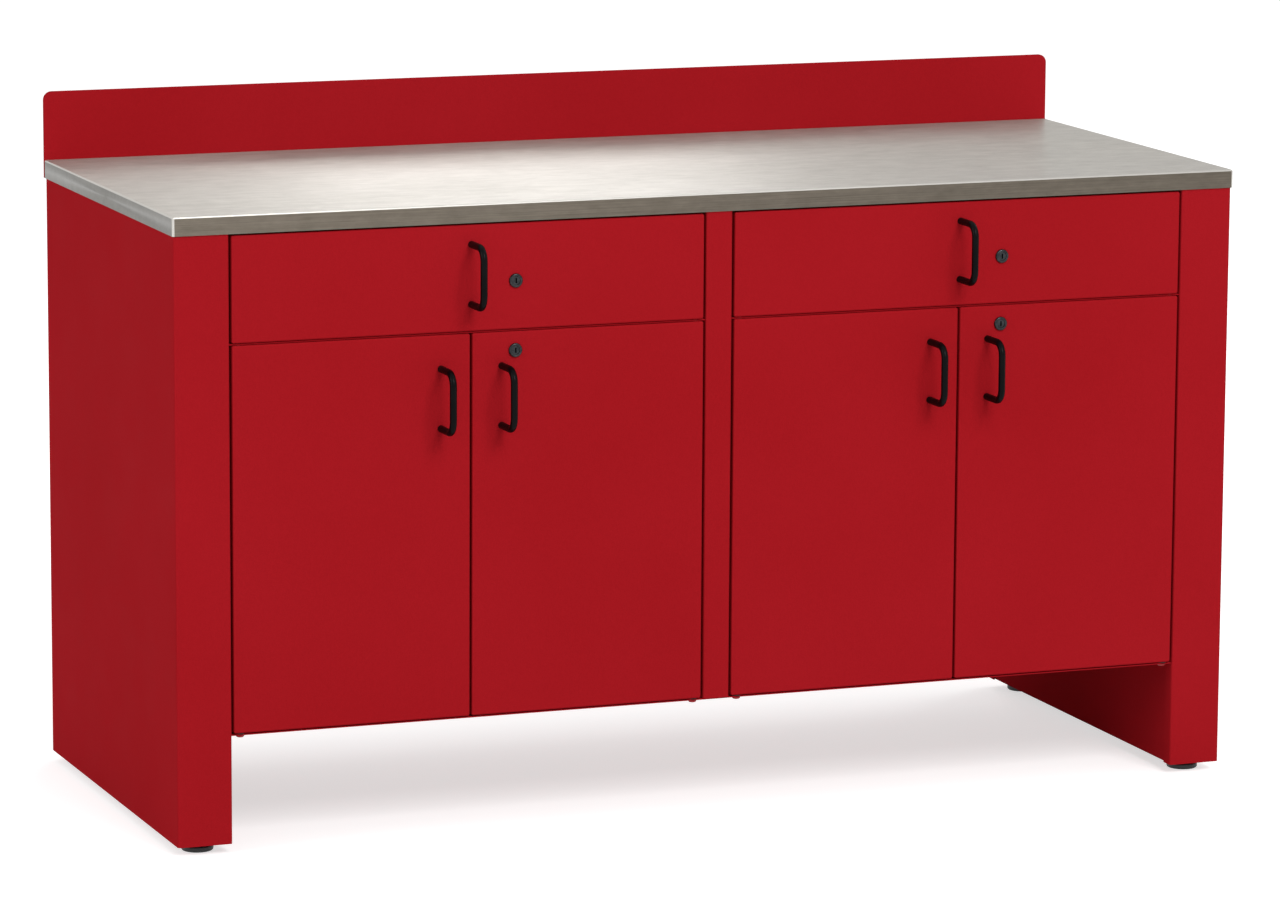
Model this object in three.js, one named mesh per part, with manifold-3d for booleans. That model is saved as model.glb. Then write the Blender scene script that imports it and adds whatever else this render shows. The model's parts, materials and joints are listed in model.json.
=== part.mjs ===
// Steel workbench: stainless worktop and backsplash over two cabinet bays,
// each with one drawer above a pair of inset doors.
// Millimetres, +X to the right, +Y to the rear, +Z up from the floor.
// The pieces are placed from the front plane of the doors; the whole bench is then centred.
import * as THREE from "three";
import { mergeVertices } from "three/addons/utils/BufferGeometryUtils.js";
import Module from "manifold-3d";

const wasm = await Module();
wasm.setup();

// Overall sizes
const BENCH_WIDTH = 1524; // over the worktop
const BENCH_DEPTH = 622; // front edge of the worktop to the rear of the backsplash
const WORKTOP_HEIGHT = 850; // floor to work surface
const WORKTOP_THICKNESS = 25;
const WORKTOP_OVERHANG = 2; // past the carcass at the front and both ends
const SPLASH_HEIGHT = 95; // above the work surface
const SPLASH_PLATE = 3;
const SPLASH_SKIRT = 60; // below the underside of the worktop
const SPLASH_SKIRT_INSET = 12; // skirt inside the ends of the worktop
const SPLASH_CORNER = 12;

// Carcass
const END_WIDTH = 75; // box-section end panels, which are also the legs
const LIP_COVER = 2; // inner return of an end panel behind the back of a closed door
const LEG_BOTTOM = 13; // floor to the underside of the end panels
const TOE_HEIGHT = 158; // floor to the underside of the cabinet
const STILE_WIDTH = 38;
const DRAWER_ZONE = 146; // underside of the worktop to the seam between drawer and doors
const FLOOR_RISE = 25; // cabinet floor above the front lip that the doors pass over
const LIP_SETBACK = 3; // front edge of the floor lip and the rail lip behind the door faces
const RAIL_REACH = 30; // front to back depth of both rails
const TOP_RAIL_DROP = 24;
const DRAWER_RAIL_DROP = 14; // from the seam to the underside of the rail
const DRAWER_RAIL_FLANGE = 12; // upstand at the rear of the drawer rail
const BACK_DEPTH = 15; // flanges of the back panel

// Sheet metal
const WORKTOP_SHEET = 1.5;
const CARCASS_SHEET = 1.5;
const PANEL_SHEET = 1.2; // doors, drawers, shelves and back
const BEND_RADIUS = 1.5; // inside of each fold
const BEND_STEPS = 2;
const EDGE_RADIUS = 2; // outside of the pressed pans
const EDGE_STEPS = 2;
const CORNER_STEPS = 1; // round each corner of a pan

// Clearances
const SEAT = 0.3; // between fixed pieces that touch
const REVEAL = 3; // round the doors and drawer fronts
const DOOR_FLOOR_GAP = 1.5; // door over the floor lip
const DRAWER_TOP_GAP = 2.5; // drawer front under the worktop
const STOP_GAP = 4.5; // from the back of a closed door to the rail and the floor riser
const HOLE_PLAY = 0.4; // on the radius of drilled holes

// Doors and drawer fronts
const FRONT_THICKNESS = 18;
const DOOR_LINER_DEPTH = 7;
const PIVOT_IN = 10; // hinge axis from the hinge edge of the door
const PIVOT_BACK = 7; // hinge axis behind the door face
const ROD_DIAMETER = 6;
const ROD_HEAD_DIAMETER = 11;
const ROD_HEAD_HEIGHT = 2.4;

// Wire pulls
const WIRE_DIAMETER = 9.5;
const PULL_CENTRES = 80;
const PULL_PROJECTION = 50; // face to the centre of the grip
const PULL_BEND = 17; // radius on the centre line
const PULL_BEND_STEPS = 6;
const PULL_SIDES = 14;
const PULL_SCREW_DIAMETER = 4.8;
const PULL_SCREW_LENGTH = 8; // behind the face
const DOOR_PULL_IN = 41; // from the meeting edge of the door
const DOOR_PULL_DOWN = 85; // top of the door to the middle of the pull
const DRAWER_PULL_DOWN = 66; // top of the drawer front to the middle of the pull

// Cam locks
const BEZEL_DIAMETER = 19;
const BEZEL_HEIGHT = 3;
const BARREL_DIAMETER = 16;
const PLUG_DIAMETER = 11;
const PLUG_PLAY = 0.3;
const PLUG_RECESS = 0.8; // plug face below the bezel
const KEYWAY_WIDTH = 2;
const KEYWAY_LENGTH = 7;
const KEYWAY_DEPTH = 6;
const LOCK_NUT_ACROSS = 22;
const LOCK_NUT_HEIGHT = 4;
const CAM_WIDTH = 13;
const CAM_THICKNESS = 2.5;
const CAM_OVERLAP = 9; // how far a locked cam reaches behind its strike
const CAM_GAP = 2.5; // between the strike and the cam
const CAM_SCREW_DIAMETER = 8;
const CAM_SCREW_HEIGHT = 2.5;
const LOCK_STEPS = 16;
const DOOR_LOCK_IN = 60; // from the meeting edge of the door
const DOOR_LOCK_DOWN = 25;
const DRAWER_LOCK_ACROSS = 62; // right of the drawer pull
const DRAWER_LOCK_DOWN = 77;
const STRIKE_SLOT_MARGIN = 3;

// Drawer trays and slides
const TRAY_FLOOR_GAP = 11; // tray over the drawer seam
const TRAY_TOP_GAP = 14; // tray below the front top rail
const TRAY_REAR_GAP = 30; // behind the tray, when closed
const HEM_WIDTH = 8;
const HEM_THICKNESS = 2.4;
const SLIDE_WIDTH = 12.7; // room that a slide takes on each side of a tray
const SLIDE_HEIGHT = 45;
const SLIDE_SHEET = 1.2;
const SLIDE_RUN = 0.4; // running gap between the members, and the radius of their tight folds
const SLIDE_LIP = 4.2; // lips that hold the next member captive
const SLIDE_OUTER_SHORT = 3.2; // outer member kept clear of the tray
const SLIDE_FRONT = 30; // behind the door faces
const SLIDE_REAR_GAP = 50; // slide to back panel
const SPACER_LENGTH = 40;
const SPACER_HEIGHT = 28;
const SPACER_INSET = 25; // end of the slide to its spacer

// Shelves
const SHELF_THICKNESS = 22;
const SHELF_SIDE_GAP = 1;
const SHELF_FRONT = 75; // behind the door faces
const SHELF_REAR_GAP = 12;
const DART_SPAN = 380; // between the front and rear shelf supports
const DART_REACH = 13;
const DART_DROP = 16;
const DART_WIDTH = 18;

// Levelling feet
const FOOT_DIAMETER = 43;
const FOOT_PAD_HEIGHT = 8;
const FOOT_EDGE = 2.5;
const FOOT_NUT_ACROSS = 19;
const STUD_DIAMETER = 12;
const STUD_LENGTH = 45; // above the end panel's bottom flange
const FOOT_SETBACK = 38; // from the front and rear of the end panel
const ROUND_STEPS = 12; // sides of small round pieces and holes
const FOOT_STEPS = 24;
const HEX_SIDES = 6;
const OUTLINE_STEPS = 4; // in each arc of a drawn outline
const WELD = 1e-4; // corners this close are one corner

// Places that follow from the sizes above
const CARCASS_HALF = BENCH_WIDTH / 2 - WORKTOP_OVERHANG;
const CARCASS_DEPTH = BENCH_DEPTH - WORKTOP_OVERHANG - SPLASH_PLATE - SEAT;
const CARCASS_TOP = WORKTOP_HEIGHT - WORKTOP_THICKNESS;
const MID_DEPTH = CARCASS_DEPTH / 2;
const BAY_OUTER = CARCASS_HALF - END_WIDTH;
const BAY_INNER = STILE_WIDTH / 2;
const BAY_WIDTH = BAY_OUTER - BAY_INNER;
const BAY_CENTRE = (BAY_OUTER + BAY_INNER) / 2;
const END_LIP = FRONT_THICKNESS + LIP_COVER;
const LINER_FACE = BAY_OUTER + CARCASS_SHEET + SEAT;
const STOP_FACE = FRONT_THICKNESS + STOP_GAP;
const RAIL_REAR = STOP_FACE + RAIL_REACH;
const SEAM_HEIGHT = CARCASS_TOP - DRAWER_ZONE;
const LIP_TOP = TOE_HEIGHT + CARCASS_SHEET;
const FLOOR_TOP = TOE_HEIGHT + FLOOR_RISE;
const INNER_REAR = CARCASS_DEPTH - BACK_DEPTH - SEAT;
const RAIL_LIP_TOP = SEAM_HEIGHT + CARCASS_SHEET / 2;
const RAIL_BOTTOM = SEAM_HEIGHT - DRAWER_RAIL_DROP;

const DOOR_WIDTH = (BAY_WIDTH - 3 * REVEAL) / 2;
const DOOR_BOTTOM = LIP_TOP + DOOR_FLOOR_GAP;
const DOOR_TOP = SEAM_HEIGHT - REVEAL / 2;
const DOOR_HEIGHT = DOOR_TOP - DOOR_BOTTOM;
const DRAWER_BOTTOM = SEAM_HEIGHT + REVEAL / 2;
const DRAWER_TOP = CARCASS_TOP - DRAWER_TOP_GAP;
const DRAWER_WIDTH = BAY_WIDTH - 2 * REVEAL;
const DRAWER_HEIGHT = DRAWER_TOP - DRAWER_BOTTOM;

const CAM_FRONT = STOP_FACE + CARCASS_SHEET + CAM_GAP;
const BARREL_END = CAM_FRONT - SEAT;
const LOCK_HOLE = BARREL_DIAMETER + 2 * HOLE_PLAY;
const DOOR_LOCK_HEIGHT = DOOR_TOP - DOOR_LOCK_DOWN;
const DOOR_CAM_LENGTH = RAIL_BOTTOM + CARCASS_SHEET + CAM_OVERLAP - DOOR_LOCK_HEIGHT;
const DRAWER_LOCK_HEIGHT = DRAWER_TOP - DRAWER_LOCK_DOWN;
const DRAWER_CAM_LENGTH = CARCASS_TOP - TOP_RAIL_DROP + CAM_OVERLAP - DRAWER_LOCK_HEIGHT;

const TRAY_FRONT = FRONT_THICKNESS + SEAT;
const TRAY_DEPTH = INNER_REAR - TRAY_REAR_GAP - TRAY_FRONT;
const TRAY_BOTTOM = SEAM_HEIGHT + TRAY_FLOOR_GAP;
const TRAY_HEIGHT = CARCASS_TOP - TOP_RAIL_DROP - TRAY_TOP_GAP - TRAY_BOTTOM;
const TRAY_WIDTH = BAY_WIDTH - 2 * SLIDE_WIDTH;
const SLIDE_LENGTH = INNER_REAR - SLIDE_REAR_GAP - SLIDE_FRONT;
const SLIDE_MIDDLE = TRAY_BOTTOM + TRAY_HEIGHT / 2;

const SHELF_TOP = (FLOOR_TOP + RAIL_BOTTOM + SHELF_THICKNESS) / 2;
const SHELF_DEPTH = INNER_REAR - SHELF_REAR_GAP - SHELF_FRONT;
const SHELF_SEAT = SHELF_TOP - SHELF_THICKNESS - SEAT;
const PULL_FRONT = PULL_PROJECTION + WIRE_DIAMETER / 2;
const FAR = 2 * BENCH_WIDTH; // longer than any piece, for cuts that go right through

const FINISHES = {
  redPaint: { color: 0xa11a21, roughness: 0.42, metalness: 0.0 },
  stainless: { color: 0xc8c3ba, roughness: 0.3, metalness: 1.0 },
  board: { color: 0x9a7d5a, roughness: 0.9, metalness: 0.0 },
  blackWire: { color: 0x17161a, roughness: 0.4, metalness: 0.2 },
  lockMetal: { color: 0x45454a, roughness: 0.35, metalness: 0.9 },
  camSteel: { color: 0xa8a69c, roughness: 0.4, metalness: 1.0 },
  slideZinc: { color: 0xb6b9bc, roughness: 0.35, metalness: 1.0 },
  rodSteel: { color: 0x8f9194, roughness: 0.4, metalness: 1.0 },
  footBlack: { color: 0x1c1c1e, roughness: 0.6, metalness: 0.1 },
};

// Solids: geometry to and from closed bodies that can be joined and cut
function solidOf(geometry) {
  const bare = geometry.clone();
  bare.deleteAttribute("normal");
  bare.deleteAttribute("uv");
  const merged = mergeVertices(bare, WELD);
  const vertProperties = merged.attributes.position.array;
  const triVerts = new Uint32Array(merged.index.array);
  return new wasm.Manifold(new wasm.Mesh({ numProp: 3, vertProperties, triVerts }));
}

function geometryOf(solid) {
  const { vertProperties, triVerts } = solid.getMesh();
  const geometry = new THREE.BufferGeometry();
  geometry.setAttribute("position", new THREE.BufferAttribute(vertProperties, 3));
  geometry.setIndex(new THREE.BufferAttribute(triVerts, 1));
  geometry.computeVertexNormals();
  return geometry;
}

function cut(geometry, ...tools) {
  const start = solidOf(geometry);
  return geometryOf(tools.reduce((solid, tool) => solid.subtract(solidOf(tool)), start));
}

function join(geometry, ...others) {
  const start = solidOf(geometry);
  return geometryOf(others.reduce((solid, other) => solid.add(solidOf(other)), start));
}

// Basic shapes
function block(x0, x1, y0, y1, z0, z1) {
  const geometry = new THREE.BoxGeometry(x1 - x0, y1 - y0, z1 - z0);
  return geometry.translate((x0 + x1) / 2, (y0 + y1) / 2, (z0 + z1) / 2);
}

function barAlongY(diameter, x, z, y0, y1, sides = ROUND_STEPS) {
  const geometry = new THREE.CylinderGeometry(diameter / 2, diameter / 2, y1 - y0, sides);
  return geometry.translate(x, (y0 + y1) / 2, z);
}

function barAlongZ(diameter, x, y, z0, z1, sides = ROUND_STEPS) {
  const geometry = new THREE.CylinderGeometry(diameter / 2, diameter / 2, z1 - z0, sides);
  return geometry.rotateX(Math.PI / 2).translate(x, y, (z0 + z1) / 2);
}

// Solid of revolution about the vertical, from (radius, height) points.
function turned(points, steps) {
  const profile = points.map(([radius, height]) => new THREE.Vector2(radius, height));
  return new THREE.LatheGeometry(profile, steps).rotateX(Math.PI / 2);
}

function extrude(shape, depth) {
  const options = { depth, bevelEnabled: false, curveSegments: OUTLINE_STEPS };
  return new THREE.ExtrudeGeometry(shape, options);
}

// Sections drawn in (y, z), (x, z) or (x, y), extruded along the third axis.
function alongX(shape, x0, x1) {
  const axes = new THREE.Matrix4().makeBasis(
    new THREE.Vector3(0, 1, 0),
    new THREE.Vector3(0, 0, 1),
    new THREE.Vector3(1, 0, 0),
  );
  return extrude(shape, x1 - x0).applyMatrix4(axes).translate(x0, 0, 0);
}

function alongY(shape, y0, y1) {
  return extrude(shape, y1 - y0).rotateX(Math.PI / 2).translate(0, y1, 0);
}

function alongZ(shape, z0, z1) {
  return extrude(shape, z1 - z0).translate(0, 0, z0);
}

// Section of a folded sheet. The path is one face of the sheet, which lies on the path's left.
function foldedSheet(path, sheet, bend = BEND_RADIUS) {
  const corners = path.map(([a, b]) => new THREE.Vector2(a, b));
  const runs = corners.slice(1).map((corner, i) => corner.clone().sub(corners[i]).normalize());
  const normals = runs.map((run) => new THREE.Vector2(-run.y, run.x));
  const radius = bend + sheet / 2;
  const right = [];
  const left = [];
  const addStation = (point, normal) => {
    right.push(point.clone().addScaledVector(normal, -sheet / 2));
    left.push(point.clone().addScaledVector(normal, sheet / 2));
  };
  const origin = new THREE.Vector2();
  corners.forEach((corner, i) => {
    const before = normals[Math.max(i - 1, 0)];
    const after = normals[Math.min(i, normals.length - 1)];
    const miter = before.clone().add(after).multiplyScalar(sheet / 2 / (1 + before.dot(after)));
    const middle = corner.clone().add(miter);
    const turn = Math.atan2(before.cross(after), before.dot(after));
    if (turn === 0) {
      addStation(middle, before);
      return;
    }
    const start = middle.clone().addScaledVector(runs[i - 1], -radius * Math.tan(Math.abs(turn) / 2));
    const centre = start.clone().addScaledVector(before, Math.sign(turn) * radius);
    for (let step = 0; step <= BEND_STEPS; step += 1) {
      const angle = (turn * step) / BEND_STEPS;
      const point = start.clone().rotateAround(centre, angle);
      addStation(point, before.clone().rotateAround(origin, angle));
    }
  });
  return new THREE.Shape([...right, ...left.reverse()]);
}

function roundedRectangle(width, height, radius) {
  const x = width / 2 - radius;
  const y = height / 2 - radius;
  const shape = new THREE.Shape();
  shape.absarc(x, -y, radius, -Math.PI / 2, 0);
  shape.absarc(x, y, radius, 0, Math.PI / 2);
  shape.absarc(-x, y, radius, Math.PI / 2, Math.PI);
  shape.absarc(-x, -y, radius, Math.PI, Math.PI * 1.5);
  return shape;
}

// Pressed pan with its rim at z = 0 and its closed face at z = depth.
function pan(width, height, depth, sheet) {
  const outline = roundedRectangle(width, height, EDGE_RADIUS + sheet / 2);
  const slab = new THREE.ExtrudeGeometry(outline, {
    depth,
    curveSegments: CORNER_STEPS,
    bevelThickness: EDGE_RADIUS,
    bevelSize: EDGE_RADIUS,
    bevelOffset: -EDGE_RADIUS,
    bevelSegments: EDGE_STEPS,
  }).translate(0, 0, -EDGE_RADIUS);
  const innerX = width / 2 - sheet;
  const innerY = height / 2 - sheet;
  const hollow = block(-innerX, innerX, -innerY, innerY, -FAR, depth - sheet);
  const below = block(-FAR, FAR, -FAR, FAR, -FAR, 0);
  return cut(slab, hollow, below);
}

// Pans turned so that their closed face looks to the front, the rear or the floor.
function panFacingFront(width, height, depth, sheet) {
  return pan(width, height, depth, sheet).rotateX(Math.PI / 2).translate(0, depth, 0);
}

function panFacingRear(width, height, depth, sheet) {
  return pan(width, height, depth, sheet).rotateX(-Math.PI / 2);
}

function panFacingDown(width, height, depth, sheet) {
  return pan(width, height, depth, sheet).rotateX(Math.PI).translate(0, 0, depth);
}

const bench = new THREE.Group();
bench.name = "workbench";
const body = new THREE.Group();
body.position.y = (PULL_FRONT + WORKTOP_OVERHANG - BENCH_DEPTH) / 2;
bench.add(body);

function addMesh(parent, name, geometry, finish, x = 0, y = 0, z = 0, turnY = 0, turnZ = 0) {
  const mesh = new THREE.Mesh(geometry, new THREE.MeshStandardMaterial(FINISHES[finish]));
  mesh.name = name;
  mesh.position.set(x, y, z);
  mesh.rotation.set(0, turnY, turnZ);
  parent.add(mesh);
  return mesh;
}

function addGroup(parent, x, y, z) {
  const group = new THREE.Group();
  group.position.set(x, y, z);
  parent.add(group);
  return group;
}

// Worktop: stainless skin turned down on all four sides over a board core
function addWorktop() {
  const depth = CARCASS_DEPTH + WORKTOP_OVERHANG;
  const middle = CARCASS_DEPTH - depth / 2;
  const skin = pan(BENCH_WIDTH, depth, WORKTOP_THICKNESS, WORKTOP_SHEET);
  addMesh(body, "worktop_skin", skin, "stainless", 0, middle, CARCASS_TOP);
  const inset = WORKTOP_SHEET + SEAT;
  const halfWidth = BENCH_WIDTH / 2 - inset;
  const halfDepth = depth / 2 - inset;
  const core = block(-halfWidth, halfWidth, -halfDepth, halfDepth, 0, WORKTOP_THICKNESS - inset);
  addMesh(body, "worktop_core", core, "board", 0, middle, CARCASS_TOP);
}

// Backsplash: flat plate behind the worktop with rounded top corners and a skirt down the back
function addBacksplash() {
  const half = BENCH_WIDTH / 2;
  const skirt = half - SPLASH_SKIRT_INSET;
  const bottom = CARCASS_TOP - SPLASH_SKIRT;
  const shoulder = WORKTOP_HEIGHT + SPLASH_HEIGHT - SPLASH_CORNER;
  const outline = new THREE.Shape();
  outline.moveTo(-half, CARCASS_TOP);
  outline.lineTo(-skirt, CARCASS_TOP);
  outline.lineTo(-skirt, bottom);
  outline.lineTo(skirt, bottom);
  outline.lineTo(skirt, CARCASS_TOP);
  outline.lineTo(half, CARCASS_TOP);
  outline.absarc(half - SPLASH_CORNER, shoulder, SPLASH_CORNER, 0, Math.PI / 2);
  outline.absarc(SPLASH_CORNER - half, shoulder, SPLASH_CORNER, Math.PI / 2, Math.PI);
  const rear = CARCASS_DEPTH + SEAT;
  addMesh(body, "backsplash", alongY(outline, rear, rear + SPLASH_PLATE), "redPaint");
}

// Shelf support pressed out of a wall: its flat top is at z = 0 and it reaches along +X.
function shelfDart(wall, y, reachSign) {
  const root = wall - (reachSign * CARCASS_SHEET) / 2;
  const tip = wall + reachSign * DART_REACH;
  const outline = new THREE.Shape();
  outline.moveTo(root, 0);
  outline.lineTo(root, -DART_DROP);
  outline.lineTo(wall, -DART_DROP);
  outline.lineTo(tip, -CARCASS_SHEET);
  outline.lineTo(tip, 0);
  const dart = alongY(outline, y - DART_WIDTH / 2, y + DART_WIDTH / 2);
  return dart.translate(0, 0, SHELF_SEAT);
}

// End panels: a lipped shell outside, a liner with top and bottom flanges inside
function endShell() {
  const x = END_WIDTH / 2;
  const y = MID_DEPTH;
  const path = [
    [x, y - END_LIP],
    [x, y],
    [-x, y],
    [-x, -y],
    [x, -y],
    [x, END_LIP - y],
  ];
  return alongZ(foldedSheet(path, CARCASS_SHEET), LEG_BOTTOM, CARCASS_TOP - SEAT);
}

function endLiner() {
  const face = END_WIDTH / 2 - CARCASS_SHEET - SEAT;
  const top = CARCASS_TOP - SEAT;
  const path = [
    [-face, LEG_BOTTOM],
    [face, LEG_BOTTOM],
    [face, top],
    [-face, top],
  ];
  const halfDepth = MID_DEPTH - CARCASS_SHEET - BEND_RADIUS;
  const liner = alongY(foldedSheet(path, CARCASS_SHEET), -halfDepth, halfDepth);
  const darts = [-1, 1].map((end) => shelfDart(face, (end * DART_SPAN) / 2, 1));
  const studHoles = [-1, 1].map((end) => {
    const y = end * (MID_DEPTH - FOOT_SETBACK);
    return barAlongZ(STUD_DIAMETER + 2 * HOLE_PLAY, 0, y, 0, LEG_BOTTOM + 2 * CARCASS_SHEET);
  });
  return cut(join(liner, ...darts), ...studHoles);
}

function addEnds() {
  const places = { left: -1, right: 1 };
  for (const [side, sign] of Object.entries(places)) {
    const x = sign * (CARCASS_HALF - END_WIDTH / 2);
    const turn = sign < 0 ? 0 : Math.PI;
    addMesh(body, `${side}_end_shell`, endShell(), "redPaint", x, MID_DEPTH, 0, 0, turn);
    addMesh(body, `${side}_end_liner`, endLiner(), "redPaint", x, MID_DEPTH, 0, 0, turn);
  }
}

// Space taken by the lips of the end shells, cut from sheets that run between the liners.
function endLipCuts() {
  const inner = BAY_OUTER - SEAT;
  const front = END_LIP + SEAT;
  const rear = CARCASS_DEPTH - END_LIP - SEAT;
  const cuts = [-1, 1].map((sign) => {
    const [x0, x1] = sign < 0 ? [-FAR, -inner] : [inner, FAR];
    return [block(x0, x1, -FAR, front, -FAR, FAR), block(x0, x1, rear, FAR, -FAR, FAR)];
  });
  return cuts.flat();
}

function hingeAxes() {
  const edge = REVEAL + PIVOT_IN;
  return [-BAY_OUTER + edge, -BAY_INNER - edge, BAY_INNER + edge, BAY_OUTER - edge];
}

function hingeHoles(z0, z1) {
  const diameter = ROD_DIAMETER + 2 * HOLE_PLAY;
  return hingeAxes().map((x) => barAlongZ(diameter, x, PIVOT_BACK, z0, z1));
}

// Cabinet floor: one sheet with a front lip under the doors, a riser they stop at and a rear flange
function addFloor() {
  const path = [
    [INNER_REAR, TOE_HEIGHT],
    [INNER_REAR, FLOOR_TOP],
    [STOP_FACE, FLOOR_TOP],
    [STOP_FACE, LIP_TOP],
    [LIP_SETBACK, LIP_TOP],
  ];
  const end = LINER_FACE - SEAT;
  const sheet = alongX(foldedSheet(path, CARCASS_SHEET), -end, end);
  const holes = hingeHoles(TOE_HEIGHT - CARCASS_SHEET, LIP_TOP + CARCASS_SHEET);
  addMesh(body, "cabinet_floor", cut(sheet, ...endLipCuts(), ...holes), "redPaint");
}

// Front top rail: channel under the worktop, whose front web is the strike of the drawer locks
function addTopRail() {
  const top = CARCASS_TOP - SEAT;
  const bottom = CARCASS_TOP - TOP_RAIL_DROP;
  const path = [
    [RAIL_REAR, bottom],
    [RAIL_REAR, top],
    [STOP_FACE, top],
    [STOP_FACE, bottom],
  ];
  const end = LINER_FACE - SEAT;
  addMesh(body, "front_top_rail", alongX(foldedSheet(path, CARCASS_SHEET), -end, end), "redPaint");
}

// Drawer rail: a lip in the seam between drawers and doors, a web that the doors stop at,
// slots that the cams of the door locks turn up into, and a rear upstand
function addDrawerRail() {
  const plate = RAIL_BOTTOM + CARCASS_SHEET;
  const web = STOP_FACE + CARCASS_SHEET;
  const path = [
    [RAIL_REAR - CARCASS_SHEET, RAIL_BOTTOM + DRAWER_RAIL_FLANGE],
    [RAIL_REAR - CARCASS_SHEET, plate],
    [web, plate],
    [web, RAIL_LIP_TOP],
    [LIP_SETBACK, RAIL_LIP_TOP],
  ];
  const end = LINER_FACE - SEAT;
  const sheet = alongX(foldedSheet(path, CARCASS_SHEET), -end, end);
  const stile = BAY_INNER + SEAT;
  const stileNotch = block(-stile, stile, -FAR, STOP_FACE - SEAT, -FAR, FAR);
  const camSweep = Math.sqrt(DOOR_CAM_LENGTH ** 2 - (RAIL_BOTTOM - DOOR_LOCK_HEIGHT) ** 2);
  const slotLeft = CAM_WIDTH / 2 + STRIKE_SLOT_MARGIN;
  const slotRight = camSweep + STRIKE_SLOT_MARGIN;
  const slotRear = CAM_FRONT + CAM_THICKNESS + CAM_SCREW_HEIGHT + STRIKE_SLOT_MARGIN;
  const camSlots = [-BAY_CENTRE, BAY_CENTRE].map((centre) => {
    const x = centre + REVEAL / 2 + DOOR_LOCK_IN;
    const z0 = RAIL_BOTTOM - CARCASS_SHEET;
    return block(x - slotLeft, x + slotRight, web, slotRear, z0, plate + BEND_RADIUS);
  });
  const holes = hingeHoles(SEAM_HEIGHT - CARCASS_SHEET, SEAM_HEIGHT + CARCASS_SHEET);
  const rail = cut(sheet, stileNotch, ...endLipCuts(), ...camSlots, ...holes);
  addMesh(body, "drawer_rail", rail, "redPaint");
}

// Centre divider: folded channel whose front is the stile, notched over the floor and both rails
function addDivider() {
  const path = [
    [-BAY_INNER, INNER_REAR],
    [-BAY_INNER, 0],
    [BAY_INNER, 0],
    [BAY_INNER, INNER_REAR],
  ];
  const channel = alongZ(foldedSheet(path, CARCASS_SHEET), LIP_TOP + SEAT, CARCASS_TOP - SEAT);
  const darts = [-1, 1].flatMap((end) => {
    const y = MID_DEPTH + (end * DART_SPAN) / 2;
    return [shelfDart(-BAY_INNER, y, -1), shelfDart(BAY_INNER, y, 1)];
  });
  const front = STOP_FACE - BEND_RADIUS - SEAT;
  const railRear = RAIL_REAR + SEAT;
  const topRail = CARCASS_TOP - TOP_RAIL_DROP - SEAT;
  const notches = [
    block(-FAR, FAR, front, FAR, -FAR, FLOOR_TOP + SEAT),
    block(-FAR, FAR, front, railRear, topRail, FAR),
    block(-FAR, FAR, front, railRear, RAIL_BOTTOM - SEAT, RAIL_LIP_TOP + SEAT),
  ];
  addMesh(body, "center_divider", cut(join(channel, ...darts), ...notches), "redPaint");
}

// Back panel: shallow pan between the rear lips of the end shells
function addBackPanel() {
  const width = 2 * (BAY_OUTER - SEAT);
  const height = CARCASS_TOP - SEAT - TOE_HEIGHT;
  const panel = panFacingRear(width, height, BACK_DEPTH, PANEL_SHEET);
  const y = CARCASS_DEPTH - BACK_DEPTH;
  addMesh(body, "back_panel", panel, "redPaint", 0, y, TOE_HEIGHT + height / 2);
}

function addShelf(side, centre) {
  const width = BAY_WIDTH - 2 * SHELF_SIDE_GAP;
  const shelf = pan(width, SHELF_DEPTH, SHELF_THICKNESS, PANEL_SHEET);
  const y = SHELF_FRONT + SHELF_DEPTH / 2;
  addMesh(body, `${side}_shelf`, shelf, "redPaint", centre, y, SHELF_TOP - SHELF_THICKNESS);
}

// Drawer slide sections in (distance from the wall, height), each held captive by the one outside it
function slideChannel(wallFace, openFace, height) {
  const v = height / 2;
  const path = [
    [openFace, v - SLIDE_LIP],
    [openFace, v],
    [wallFace, v],
    [wallFace, -v],
    [openFace, -v],
    [openFace, SLIDE_LIP - v],
  ];
  return foldedSheet(path, SLIDE_SHEET, SLIDE_RUN);
}

const SLIDE_NEST = SLIDE_SHEET + SLIDE_RUN;
const OUTER_OPEN = SLIDE_WIDTH - SLIDE_OUTER_SHORT;

function slideOuter(wallSetback) {
  const section = slideChannel(SEAT, OUTER_OPEN, SLIDE_HEIGHT);
  const channel = alongY(section, 0, SLIDE_LENGTH);
  if (wallSetback === 0) return channel;
  const lastSpacer = SLIDE_LENGTH - SPACER_INSET - SPACER_LENGTH;
  const spacerStarts = [SPACER_INSET, (SLIDE_LENGTH - SPACER_LENGTH) / 2, lastSpacer];
  const spacers = spacerStarts.map((y) => {
    const z = SPACER_HEIGHT / 2;
    return block(SEAT - wallSetback, SEAT + SLIDE_SHEET / 2, y, y + SPACER_LENGTH, -z, z);
  });
  return join(channel, ...spacers);
}

function slideMiddle() {
  const height = SLIDE_HEIGHT - 2 * SLIDE_NEST;
  const section = slideChannel(SEAT + SLIDE_NEST, OUTER_OPEN - SLIDE_NEST, height);
  return alongY(section, 0, SLIDE_LENGTH);
}

function slideInner() {
  const foot = SEAT + 2 * SLIDE_NEST;
  const tip = SLIDE_HEIGHT / 2 - 2 * SLIDE_NEST;
  const flange = SLIDE_HEIGHT / 2 - SLIDE_NEST - SLIDE_LIP - SLIDE_RUN - SLIDE_SHEET;
  const web = SLIDE_WIDTH - SEAT - SLIDE_SHEET;
  const path = [
    [foot, tip],
    [foot, flange],
    [web, flange],
    [web, -flange],
    [foot, -flange],
    [foot, -tip],
  ];
  return alongY(foldedSheet(path, SLIDE_SHEET, SLIDE_RUN), 0, SLIDE_LENGTH);
}

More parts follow.
